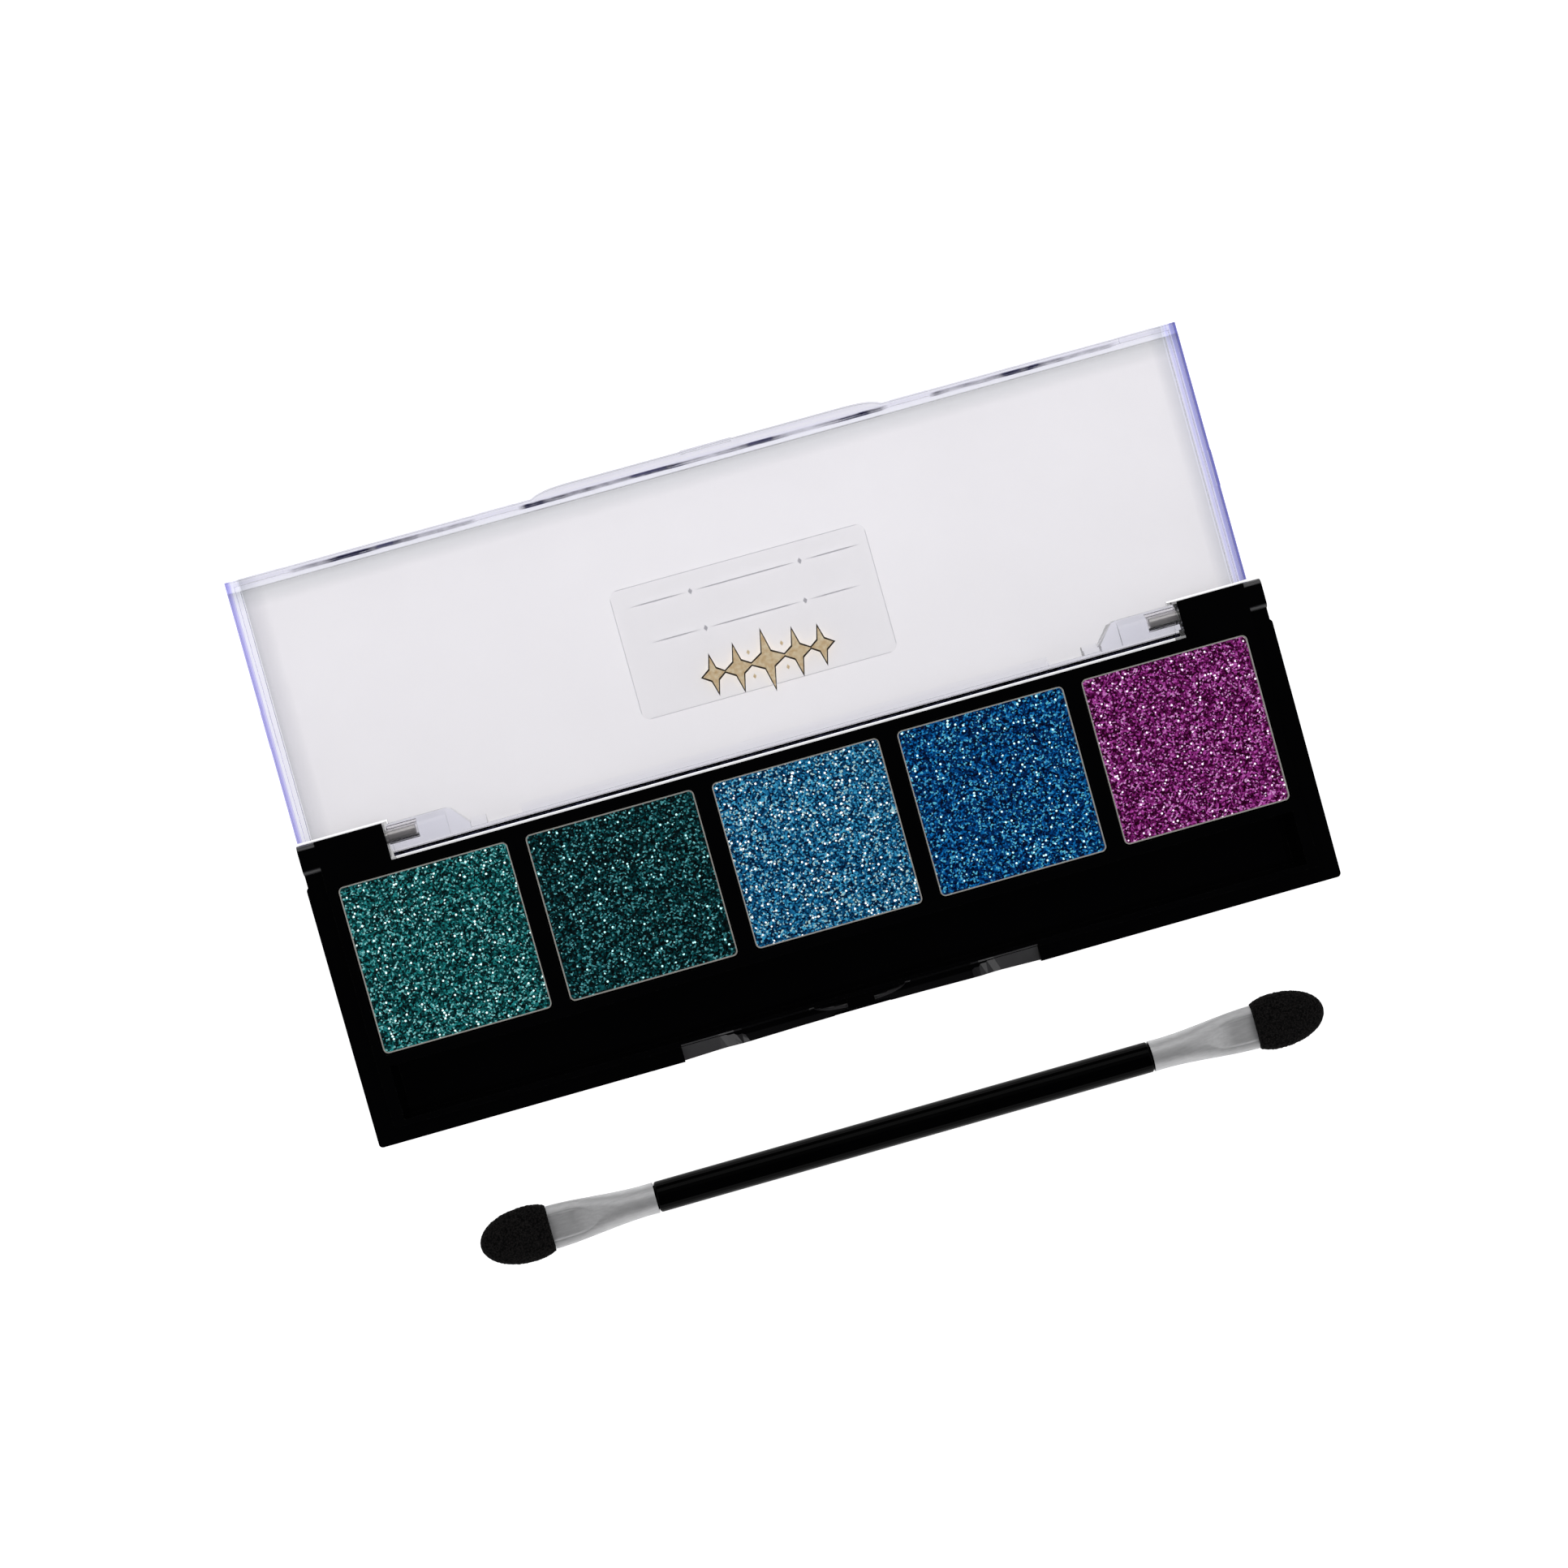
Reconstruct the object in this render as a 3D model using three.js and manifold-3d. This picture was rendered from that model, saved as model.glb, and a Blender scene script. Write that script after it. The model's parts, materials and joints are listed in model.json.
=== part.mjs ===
// Five-pan glitter eyeshadow palette with a clear hinged lid and a double-ended sponge applicator.
// Millimetres, +Z up. The origin is the middle of the base's underside, +X runs along the palette
// and +Y points from the thumb notch to the hinge. The lid is open, lying flat behind the base.
import * as THREE from 'three';
import { mergeVertices } from 'three/addons/utils/BufferGeometryUtils.js';
import Module from 'manifold-3d';

// ---- driving dimensions -------------------------------------------------------------------

// Base tray
const BASE_WIDTH = 120;
const BASE_DEPTH = 37.3;
const LEDGE_TOP = 6.7; // the lid's rim comes down on this ledge
const DECK_TOP = 7.5; // the raised deck that the lid fits over
const DECK_HALF_WIDTH = 57.6;
const DECK_FRONT = -16.7;
const CORNER_RADIUS = 0.5;
const REAR_WALL = 14.15; // rear face of the deck between the hinge cheeks
const SIDE_INSET = 0.25; // the sides step in beside the hinge cheeks
const SIDE_INSET_START = 13.6;

// Hinge
const HINGE_Y = 16.8;
const HINGE_Z = 5.6;
const OPEN_TILT = 1.9; // degrees past flat, where the far edge meets the table
const CHEEK_FRONT = 15;
const CHEEK_INNER = 49.25;
const PIN_RADIUS = 0.75;
const PIN_BORE_RADIUS = 0.95;
const PIN_INNER_END = 45.6;
const PIN_OUTER_END = 54.5;
const BORE_END_PLAY = 0.3;

// Pans, their pockets and what they hold
const PAN_COUNT = 5;
const PAN_PITCH = 23;
const PAN_WIDTH = 20.75;
const PAN_DEPTH = 20.6;
const PAN_CENTRE_Y = 2.33;
const PAN_CORNER = 0.65;
const PAN_WALL = 0.16;
const PAN_RIM = 7.25;
const PAN_BOTTOM = 4.35;
const CAKE_TOP = 7;
const CAKE_GAP = 0.02;
const POCKET_FLOOR = 4;
const POCKET_PLAY = 0.2;
const PAD_SIZE = 18;
const PAD_BOTTOM = 4.05;
const PAD_TOP = 4.3;

// Applicator well in front of the pans
const WELL_HALF_WIDTH = 56.2;
const WELL_BACK = -9.4;
const WELL_FRONT = -16.05;
const WELL_FLOOR = 2;
const WELL_DRAFT = 0.5;

// Hollow underside and its cover
const COVER_THICKNESS = 0.8;
const COVER_PLAY = 0.1;
const COVER_HALF_WIDTH = 58;
const COVER_FRONT = -16.9;
const COVER_BACK = 12.3;
const COVER_CORNER = 1;
const CELL_TOP = 2.9;
const CELL_WIDTH = 21.6;
const CELL_BACK = 12;
const CELL_FRONT = -8.2;

// Thumb notch and catch in the front wall
const NOTCH_HALF_WIDTH = 22.2;
const NOTCH_TOP = { y: -16.45, z: 7 };
const NOTCH_FOOT_Z = 4.9;
const NOTCH_BOW = 0.4;
const NOTCH_SHELF_RISE = 1.35; // the slope is gentle in the middle, between its two steep ends
const NOTCH_SHELF_START = 14;
const NOTCH_SHELF_END = 17.5;
const NOTCH_STEPS = 48;
const THUMB_DIP = { halfWidth: 6.4, reach: 1.4, depth: 0.75 };
const CATCH_HALF_WIDTH = 1.65;
const CATCH_FRONT = -17.95;
const CATCH_BOTTOM = 5;
const CATCH_TOP = 6.9;

// Lid, in its own frame: the hinge axis is the origin, closed, with the front edge towards -Y
const LID_HALF_WIDTH = 59.35;
const LID_SHIFT = -0.5; // side play: the panel, walls and feet sit this far left of the hinge's middle
const LID_TOP = 4.3;
const LID_PANEL = 1.1; // thickness of the lid's top
const LID_FRONT = -34.5;
const LID_REAR = -2.15;
const LID_RIM = 1.5;
const LID_FOOT = 1.25;
const LID_STEP = 2.2; // height of the shelf inside the wall
const LID_RIM_WALL = 0.75;
const LID_FRONT_WALL = 1.4;
const LID_SIDE_RIM_WALL = 1;
const LID_SIDE_WALL = 1.5;
const BULGE = 0.75; // the lip that a thumb lifts
const BULGE_HALF_WIDTH = 21.9;
const BULGE_EASE = 4.8; // length of each eased end
const FOOT_LENGTH = 4.5;
const FRONT_FEET_X = [-54.4, -25.7, 25.7, 54.4];
const SIDE_FOOT_Y = -16.2;
const LUG_HALF_WIDTH = 3.2;
const LUG_THICKNESS = 0.4;
const LUG_BOTTOM = 0.75;
const LUG_PLAY = 0.3;
const LUG_SLOT_BACK = -17.85;
const LUG_SLOT_FLOOR = 6.05;

// Hinge tongue of the lid, between the cheeks
const TONGUE_HALF_WIDTH = 48.95;
const TONGUE_REACH = 2.4;
const TONGUE_CORNER = 1.5;
const BARREL_RADIUS = 1.6;
const BARREL_INNER_END = 41.7;
const BARREL_TAPER_END = 39.2;
const BARREL_TAPER_TOE = 0.6; // how far the taper's toe runs past the barrel
const BARREL_TAPER_DROP = 1; // how far the taper hangs below the axis
const SKIRT_THICKNESS = 0.9;
const SKIRT_STEPS = [
  { depth: 0.55, bottom: 0.9 },
  { depth: 1.1, bottom: 1.9 },
];
const RIB_STRETCHES = [
  [-39.2, -37.3],
  [-32.9, 32.9],
  [37.3, 39.2],
];

// Clear label on the lid's outer face
const LABEL_WIDTH = 32.1;
const LABEL_DEPTH = 16.1;
const LABEL_Y = -13.3;
const LABEL_CORNER = 1;
const LABEL_THICKNESS = 0.1;
const LABEL_GAP = 0.02;

// Applicator, lying in front of the palette
const APPLICATOR_X = 1.2;
const APPLICATOR_Y = -34.1;
const APPLICATOR_Z = 2;
const HANDLE_LENGTH = 62.5;
const HANDLE_RADIUS = 1.9;
const HANDLE_EDGE = 0.2;
const NECK_RADIUS = 1.45;
const NECK_LENGTH = 3.6;
const FERRULE_LENGTH = 13.4;
const FERRULE_WALL = 0.25;
const FERRULE_GAP = 0.1;
const FERRULE_TIP_HALF_WIDTH = 2.7;
const FERRULE_TIP_HALF_THICKNESS = 1;
const SPREAD_START = 0.1; // fractions of the ferrule's length
const CRIMP_START = 0.32;
const CRIMP_END = 0.78;
const SPONGE_LENGTH = 8.75;
const SPONGE_HALF_WIDTH = 3.5;
const SPONGE_HALF_THICKNESS = 1.95;
const SPONGE_SHOULDER = 2.5;
const SPONGE_SHOULDER_DROP = 0.13; // the flat end is narrower by this fraction
const SPONGE_END_EDGE = 0.5;
const SPONGE_TIP_POWER = 2.3; // 2 would be an ellipse
const STEM_WIDTH = 3;
const STEM_THICKNESS = 0.8;
const STEM_START = 5;
const STEM_END = 18.7;
const STEM_PLAY = 0.1;

const BITE = 0.2; // how far a cutting shape runs past the face that it cuts

// ---- solids -------------------------------------------------------------------------------

const wasm = await Module();
wasm.setup();

function toSolid(geometry) {
  const bare = geometry.clone();
  bare.deleteAttribute('normal');
  bare.deleteAttribute('uv');
  const welded = mergeVertices(bare);
  const vertProperties = new Float32Array(welded.attributes.position.array);
  const triVerts = new Uint32Array(welded.index.array);
  return new wasm.Manifold(new wasm.Mesh({ numProp: 3, vertProperties, triVerts }));
}

function toGeometry(solid) {
  const mesh = solid.getMesh();
  const geometry = new THREE.BufferGeometry();
  geometry.setAttribute('position', new THREE.BufferAttribute(mesh.vertProperties, 3));
  geometry.setIndex(new THREE.BufferAttribute(mesh.triVerts, 1));
  geometry.computeVertexNormals();
  return geometry;
}

function join(geometries) {
  return toGeometry(geometries.map(toSolid).reduce((whole, piece) => whole.add(piece)));
}

function cut(geometry, tools) {
  return toGeometry(tools.map(toSolid).reduce((whole, tool) => whole.subtract(tool), toSolid(geometry)));
}

// ---- basic shapes -------------------------------------------------------------------------

function box([x0, x1], [y0, y1], [z0, z1]) {
  const geometry = new THREE.BoxGeometry(x1 - x0, y1 - y0, z1 - z0);
  return geometry.translate((x0 + x1) / 2, (y0 + y1) / 2, (z0 + z1) / 2);
}

function roundedRectangle([x0, x1], [y0, y1], radius) {
  const shape = new THREE.Shape();
  shape.moveTo(x0 + radius, y0);
  shape.lineTo(x1 - radius, y0);
  shape.absarc(x1 - radius, y0 + radius, radius, -Math.PI / 2, 0);
  shape.lineTo(x1, y1 - radius);
  shape.absarc(x1 - radius, y1 - radius, radius, 0, Math.PI / 2);
  shape.lineTo(x0 + radius, y1);
  shape.absarc(x0 + radius, y1 - radius, radius, Math.PI / 2, Math.PI);
  shape.lineTo(x0, y0 + radius);
  shape.absarc(x0 + radius, y0 + radius, radius, Math.PI, 1.5 * Math.PI);
  return shape;
}

function polygon(points) {
  return new THREE.Shape(points.map(([x, y]) => new THREE.Vector2(x, y)));
}

function smoothStep(from, to, value) {
  const t = Math.min(Math.max((value - from) / (to - from), 0), 1);
  return t * t * (3 - 2 * t);
}

// A shape drawn in X and Y, raised from z0 to z1.
function prism(shape, [z0, z1], curveSegments = 4) {
  const settings = { depth: z1 - z0, bevelEnabled: false, curveSegments };
  return new THREE.ExtrudeGeometry(shape, settings).translate(0, 0, z0);
}

// A shape drawn in Y and Z, run from x0 to x1.
function runAlongX(shape, [x0, x1], curveSegments = 4, steps = 1) {
  const settings = { depth: x1 - x0, bevelEnabled: false, curveSegments, steps };
  const geometry = new THREE.ExtrudeGeometry(shape, settings);
  const turn = new THREE.Matrix4().makeBasis(
    new THREE.Vector3(0, 1, 0),
    new THREE.Vector3(0, 0, 1),
    new THREE.Vector3(1, 0, 0),
  );
  return geometry.applyMatrix4(turn).translate(x0, 0, 0);
}

function cylinderAlongX(radius, [x0, x1], y, z, segments = 24) {
  const geometry = new THREE.CylinderGeometry(radius, radius, x1 - x0, segments);
  return geometry.rotateZ(-Math.PI / 2).translate((x0 + x1) / 2, y, z);
}

// The same range on the other side of the palette's middle.
function mirrored([x0, x1]) {
  return [-x1, -x0];
}

function moveVertices(geometry, move) {
  const position = geometry.attributes.position;
  for (let i = 0; i < position.count; i += 1) {
    const point = new THREE.Vector3().fromBufferAttribute(position, i);
    move(point);
    position.setXYZ(i, point.x, point.y, point.z);
  }
  return geometry;
}

// ---- materials ----------------------------------------------------------------------------

function material(color, roughness, metalness = 0, opacity = 1) {
  return new THREE.MeshStandardMaterial({
    color,
    roughness,
    metalness,
    opacity,
    transparent: opacity < 1,
  });
}

function blackPlastic() {
  return material(0x060607, 0.15);
}

function clearPlastic() {
  return material(0xe9e7f0, 0.05, 0, 0.3);
}

function silverMetal() {
  return material(0xc6c8cb, 0.3, 1);
}

const GLITTER_COLOURS = [0x1f7d7c, 0x124e52, 0x3f7fae, 0x12569c, 0x8a2683];

function addPiece(parent, name, geometry, finish) {
  const mesh = new THREE.Mesh(geometry, finish);
  mesh.name = name;
  parent.add(mesh);
}

// ---- base ---------------------------------------------------------------------------------

function panCentre(index) {
  return (index - (PAN_COUNT - 1) / 2) * PAN_PITCH;
}

// A pan-shaped prism, grown or shrunk on every side.
function panPrism(index, growth, heights) {
  const x = panCentre(index);
  const halfWidth = PAN_WIDTH / 2 + growth;
  const halfDepth = PAN_DEPTH / 2 + growth;
  const widths = [x - halfWidth, x + halfWidth];
  const depths = [PAN_CENTRE_Y - halfDepth, PAN_CENTRE_Y + halfDepth];
  return prism(roundedRectangle(widths, depths, PAN_CORNER + growth), heights);
}

// The outer end of a hinge cheek. Its top edges are rounded so that the lid's side walls swing past.
function cheekEnd(widths) {
  const round = DECK_TOP - LEDGE_TOP;
  const back = BASE_DEPTH / 2;
  const section = new THREE.Shape();
  section.moveTo(CHEEK_FRONT, 0);
  section.lineTo(back, 0);
  section.lineTo(back, LEDGE_TOP);
  section.absarc(back - round, LEDGE_TOP, round, 0, Math.PI / 2);
  section.lineTo(CHEEK_FRONT + round, DECK_TOP);
  section.absarc(CHEEK_FRONT + round, LEDGE_TOP, round, Math.PI / 2, Math.PI);
  return runAlongX(section, widths, 6);
}

function trayBlank() {
  const halfDepth = BASE_DEPTH / 2;
  const rearHalfWidth = BASE_WIDTH / 2 - SIDE_INSET;
  const ledgeOutline = roundedRectangle(
    [-BASE_WIDTH / 2, BASE_WIDTH / 2],
    [-halfDepth, SIDE_INSET_START],
    CORNER_RADIUS,
  );
  const ledge = prism(ledgeOutline, [0, LEDGE_TOP]);
  const rear = box([-rearHalfWidth, rearHalfWidth], [0, CHEEK_FRONT + BITE], [0, LEDGE_TOP]);
  const deck = box([-DECK_HALF_WIDTH, DECK_HALF_WIDTH], [DECK_FRONT, halfDepth], [0, DECK_TOP]);
  const end = [DECK_HALF_WIDTH - BITE, rearHalfWidth];
  return join([ledge, rear, deck, cheekEnd(end), cheekEnd(mirrored(end))]);
}

// The well's walls lean in towards its floor.
function wellCutter() {
  const heights = [WELL_FLOOR, DECK_TOP + BITE];
  const cutter = box([-WELL_HALF_WIDTH, WELL_HALF_WIDTH], [WELL_FRONT, WELL_BACK], heights);
  return moveVertices(cutter, (point) => {
    if (point.z < DECK_TOP) {
      point.x -= Math.sign(point.x) * WELL_DRAFT;
    }
  });
}

function undersideCutters() {
  const recess = prism(
    roundedRectangle(
      [-COVER_HALF_WIDTH - COVER_PLAY, COVER_HALF_WIDTH + COVER_PLAY],
      [COVER_FRONT - COVER_PLAY, COVER_BACK + COVER_PLAY],
      COVER_CORNER,
    ),
    [-BITE, COVER_THICKNESS + COVER_PLAY],
  );
  const cells = [];
  for (let i = 0; i < PAN_COUNT; i += 1) {
    const widths = [panCentre(i) - CELL_WIDTH / 2, panCentre(i) + CELL_WIDTH / 2];
    cells.push(box(widths, [CELL_FRONT, CELL_BACK], [0, CELL_TOP]));
  }
  return [recess, ...cells];
}

function boreCutters() {
  const bore = [CHEEK_INNER - BITE, PIN_OUTER_END + BORE_END_PLAY];
  return [bore, mirrored(bore)].map((widths) => cylinderAlongX(PIN_BORE_RADIUS, widths, HINGE_Y, HINGE_Z));
}

// The front face bows in below the lid's lip.
function bowCutter() {
  const face = -BASE_DEPTH / 2;
  const outline = new THREE.Shape();
  outline.moveTo(-NOTCH_HALF_WIDTH, face - BITE);
  outline.lineTo(NOTCH_HALF_WIDTH, face - BITE);
  outline.lineTo(NOTCH_HALF_WIDTH, face);
  outline.quadraticCurveTo(0, face + 2 * NOTCH_BOW, -NOTCH_HALF_WIDTH, face);
  return prism(outline, [-BITE, DECK_TOP], 12);
}

// The notch slopes down from the deck's front edge, so that a thumb gets under the lid's lip. The slope
// is steep at both ends and gentle between them.
function notchCutter() {
  const section = polygon([
    [NOTCH_TOP.y, DECK_TOP + BITE],
    [-BASE_DEPTH / 2 - BITE, DECK_TOP + BITE],
    [-BASE_DEPTH / 2 - BITE, NOTCH_FOOT_Z],
    [NOTCH_TOP.y, NOTCH_TOP.z],
  ]);
  const cutter = runAlongX(section, [-NOTCH_HALF_WIDTH, NOTCH_HALF_WIDTH], 1, NOTCH_STEPS);
  return moveVertices(cutter, (point) => {
    if (point.z < NOTCH_TOP.z - BITE) {
      point.z += NOTCH_SHELF_RISE * (1 - smoothStep(NOTCH_SHELF_START, NOTCH_SHELF_END, Math.abs(point.x)));
    }
  });
}

// Room for the lid's lug in front of the catch tab.
function lugSlotCutter() {
  const halfWidth = LUG_HALF_WIDTH + LUG_PLAY;
  const depths = [-BASE_DEPTH / 2 - BITE, LUG_SLOT_BACK];
  return box([-halfWidth, halfWidth], depths, [LUG_SLOT_FLOOR, DECK_TOP + BITE]);
}

// A shallow dip in the shelf, for the thumb: half an egg, cut off flat by the deck's front face.
function thumbDipCutter() {
  const { halfWidth, reach, depth } = THUMB_DIP;
  const dip = new THREE.SphereGeometry(1, 40, 24);
  dip.scale(halfWidth, reach, depth).translate(0, NOTCH_TOP.y, NOTCH_TOP.z);
  return moveVertices(dip, (point) => {
    point.y = Math.min(point.y, NOTCH_TOP.y);
  });
}

function baseTray() {
  const pockets = [];
  for (let i = 0; i < PAN_COUNT; i += 1) {
    pockets.push(panPrism(i, POCKET_PLAY, [POCKET_FLOOR, DECK_TOP + BITE]));
  }
  const rearGap = box([-CHEEK_INNER, CHEEK_INNER], [REAR_WALL, BASE_DEPTH], [-BITE, DECK_TOP + BITE]);
  const openings = [rearGap, ...pockets, wellCutter(), ...undersideCutters(), ...boreCutters()];
  const shell = cut(trayBlank(), openings);
  const notched = cut(shell, [bowCutter(), notchCutter(), thumbDipCutter(), lugSlotCutter()]);
  const catchTab = box(
    [-CATCH_HALF_WIDTH, CATCH_HALF_WIDTH],
    [CATCH_FRONT, NOTCH_TOP.y + BITE],
    [CATCH_BOTTOM, CATCH_TOP],
  );
  return join([notched, catchTab]);
}

function bottomCover() {
  const widths = [-COVER_HALF_WIDTH, COVER_HALF_WIDTH];
  return prism(roundedRectangle(widths, [COVER_FRONT, COVER_BACK], COVER_CORNER), [0, COVER_THICKNESS]);
}

function hingePin(side) {
  const span = [PIN_INNER_END, PIN_OUTER_END];
  return cylinderAlongX(PIN_RADIUS, side < 0 ? mirrored(span) : span, HINGE_Y, HINGE_Z, 20);
}

function pan(index) {
  const hollow = panPrism(index, -PAN_WALL, [PAN_BOTTOM + PAN_WALL, PAN_RIM + BITE]);
  return cut(panPrism(index, 0, [PAN_BOTTOM, PAN_RIM]), [hollow]);
}

function glitterCake(index) {
  return panPrism(index, -PAN_WALL - CAKE_GAP, [PAN_BOTTOM + PAN_WALL + CAKE_GAP, CAKE_TOP]);
}

function panPad(index) {
  const half = PAD_SIZE / 2;
  const x = panCentre(index);
  return box([x - half, x + half], [PAN_CENTRE_Y - half, PAN_CENTRE_Y + half], [PAD_BOTTOM, PAD_TOP]);
}

// ---- lid ----------------------------------------------------------------------------------

// The lid's walls: a thin rim below the inner shelf and a thicker wall above it.
function lidWalls(sideWall, frontWall, heights) {
  const outer = box([-LID_HALF_WIDTH, LID_HALF_WIDTH], [LID_FRONT, LID_REAR], heights);
  const hollow = box(
    [-LID_HALF_WIDTH + sideWall, LID_HALF_WIDTH - sideWall],
    [LID_FRONT + frontWall, LID_REAR + BITE],
    [heights[0] - BITE, heights[1] + BITE],
  );
  return cut(outer, [hollow]);
}

// The lip across the middle of the front edge, with eased ends.
function bulge() {
  const shape = new THREE.Shape();
  const outerFace = LID_FRONT - BULGE;
  const easeStart = BULGE_HALF_WIDTH - BULGE_EASE;
  const easeControl = BULGE_HALF_WIDTH - BULGE_EASE / 4;
  shape.moveTo(-BULGE_HALF_WIDTH, LID_FRONT + LID_RIM_WALL);
  shape.lineTo(-BULGE_HALF_WIDTH, LID_FRONT);
  shape.quadraticCurveTo(-easeControl, outerFace, -easeStart, outerFace);
  shape.lineTo(easeStart, outerFace);
  shape.quadraticCurveTo(easeControl, outerFace, BULGE_HALF_WIDTH, LID_FRONT);
  shape.lineTo(BULGE_HALF_WIDTH, LID_FRONT + LID_RIM_WALL);
  return prism(shape, [LID_RIM, LID_TOP], 6);
}

// Short feet under the rim, which touch the base's ledge.
function rimFeet() {
  const half = FOOT_LENGTH / 2;
  const heights = [LID_FOOT, LID_RIM + BITE];
  const frontRim = [LID_FRONT, LID_FRONT + LID_RIM_WALL];
  const front = FRONT_FEET_X.map((x) => box([x - half, x + half], frontRim, heights));
  const sideRim = [LID_HALF_WIDTH - LID_SIDE_RIM_WALL, LID_HALF_WIDTH];
  const along = [SIDE_FOOT_Y - half, SIDE_FOOT_Y + half];
  const sides = [sideRim, mirrored(sideRim)].map((widths) => box(widths, along, heights));
  return [...front, ...sides];
}

function catchLug() {
  const outerFace = LID_FRONT - BULGE;
  const depths = [outerFace, outerFace + LUG_THICKNESS];
  return box([-LUG_HALF_WIDTH, LUG_HALF_WIDTH], depths, [LUG_BOTTOM, LID_RIM + BITE]);
}

// Section of the tongue: the panel runs on behind the axis and turns down as a skirt.
function tonguePanelAndSkirt() {
  const shape = new THREE.Shape();
  const corner = TONGUE_REACH - TONGUE_CORNER;
  shape.moveTo(LID_REAR - BITE, LID_TOP - LID_PANEL);
  shape.lineTo(TONGUE_REACH - SKIRT_THICKNESS, LID_TOP - LID_PANEL);
  shape.lineTo(TONGUE_REACH - SKIRT_THICKNESS, 0);
  shape.lineTo(TONGUE_REACH, 0);
  shape.lineTo(TONGUE_REACH, LID_TOP - TONGUE_CORNER);
  shape.absarc(corner, LID_TOP - TONGUE_CORNER, TONGUE_CORNER, 0, Math.PI / 2);
  shape.lineTo(LID_REAR - BITE, LID_TOP);
  return runAlongX(shape, [-TONGUE_HALF_WIDTH, TONGUE_HALF_WIDTH], 6);
}

// Stepped ribs inside the skirt, with two plain gaps.
function skirtRibs() {
  const inner = TONGUE_REACH - SKIRT_THICKNESS;
  const panelFace = LID_TOP - LID_PANEL + BITE;
  const ribs = [];
  for (const widths of RIB_STRETCHES) {
    for (const { depth, bottom } of SKIRT_STEPS) {
      ribs.push(box(widths, [inner - depth, inner + BITE], [bottom, panelFace]));
    }
  }
  return ribs;
}

// One hinge barrel with the web that carries it, and the taper from the barrel to the ribs.
function barrel(side) {
  const turn = (widths) => (side < 0 ? mirrored(widths) : widths);
  const widths = turn([BARREL_INNER_END, TONGUE_HALF_WIDTH]);
  const panelFace = LID_TOP - LID_PANEL + BITE;
  const round = cylinderAlongX(BARREL_RADIUS, widths, 0, 0);
  const web = box(widths, [-BARREL_RADIUS, TONGUE_REACH - BITE], [0, panelFace]);
  const heel = box(widths, [0, BARREL_RADIUS], [-BARREL_RADIUS, BITE]);
  const taperPlan = polygon([
    [side * (BARREL_INNER_END + BITE), -BARREL_RADIUS],
    [side * (BARREL_INNER_END + BITE), BARREL_RADIUS],
    [side * BARREL_TAPER_END, BARREL_RADIUS],
    [side * BARREL_TAPER_END, BARREL_RADIUS / 2],
    [side * (BARREL_INNER_END - BARREL_TAPER_TOE), BITE - BARREL_RADIUS],
  ]);
  const taper = prism(taperPlan, [-BARREL_TAPER_DROP, panelFace]);
  return [round, web, heel, taper];
}

function lid() {
  const panelHeights = [LID_TOP - LID_PANEL, LID_TOP];
  const panel = box([-LID_HALF_WIDTH, LID_HALF_WIDTH], [LID_FRONT, LID_REAR], panelHeights);
  const rim = lidWalls(LID_SIDE_RIM_WALL, LID_RIM_WALL, [LID_RIM, LID_STEP + BITE]);
  const wall = lidWalls(LID_SIDE_WALL, LID_FRONT_WALL, [LID_STEP, LID_TOP]);
  const cover = join([panel, rim, wall, ...rimFeet()]).translate(LID_SHIFT, 0, 0);
  const tongue = [tonguePanelAndSkirt(), ...skirtRibs(), ...barrel(-1), ...barrel(1)];
  const whole = join([cover, bulge(), catchLug(), ...tongue]);
  const bore = [PIN_INNER_END - BORE_END_PLAY, TONGUE_HALF_WIDTH + BITE];
  const bores = [bore, mirrored(bore)].map((widths) => cylinderAlongX(PIN_BORE_RADIUS, widths, 0, 0));
  return cut(whole, bores);
}

function lidLabel() {
  const outline = roundedRectangle(
    [-LABEL_WIDTH / 2, LABEL_WIDTH / 2],
    [LABEL_Y - LABEL_DEPTH / 2, LABEL_Y + LABEL_DEPTH / 2],
    LABEL_CORNER,
  );
  const bottom = LID_TOP + LABEL_GAP;
  return prism(outline, [bottom, bottom + LABEL_THICKNESS]);
}

// ---- applicator ---------------------------------------------------------------------------

// A closed profile of [distance along, radius] pairs, turned about the X axis.
function turned(profile, segments = 28) {
  const points = profile.map(([along, radius]) => new THREE.Vector2(radius, along));
  return new THREE.LatheGeometry(points, segments).rotateZ(-Math.PI / 2);
}

function handle() {
  const shoulder = HANDLE_LENGTH / 2;
  const neck = shoulder + NECK_LENGTH;
  return turned([
    [-neck, 0],
    [-neck, NECK_RADIUS],
    [-shoulder, NECK_RADIUS],
    [-shoulder, HANDLE_RADIUS - HANDLE_EDGE],
    [-shoulder + HANDLE_EDGE, HANDLE_RADIUS],
    [shoulder - HANDLE_EDGE, HANDLE_RADIUS],
    [shoulder, HANDLE_RADIUS - HANDLE_EDGE],
    [shoulder, NECK_RADIUS],
    [neck, NECK_RADIUS],
    [neck, 0],
  ]);
}

// A round tube end that a crimp presses flat and wide: shrink is the wall inside the outer face.
function ferruleBody(shrink, [start, end]) {
  const tube = new THREE.CylinderGeometry(1, 1, end - start, 28, 10).rotateZ(-Math.PI / 2);
  tube.translate((start + end) / 2, 0, 0);
  return moveVertices(tube, (point) => {
    const flat = smoothStep(CRIMP_START, CRIMP_END, point.x / FERRULE_LENGTH);
    const spread = smoothStep(SPREAD_START, 1, point.x / FERRULE_LENGTH);
    const halfWidth = HANDLE_RADIUS + (FERRULE_TIP_HALF_WIDTH - HANDLE_RADIUS) * spread;
    const halfThickness = HANDLE_RADIUS + (FERRULE_TIP_HALF_THICKNESS - HANDLE_RADIUS) * flat;
    point.y *= halfWidth - shrink;
    point.z *= halfThickness - shrink;
  });
}

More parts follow.
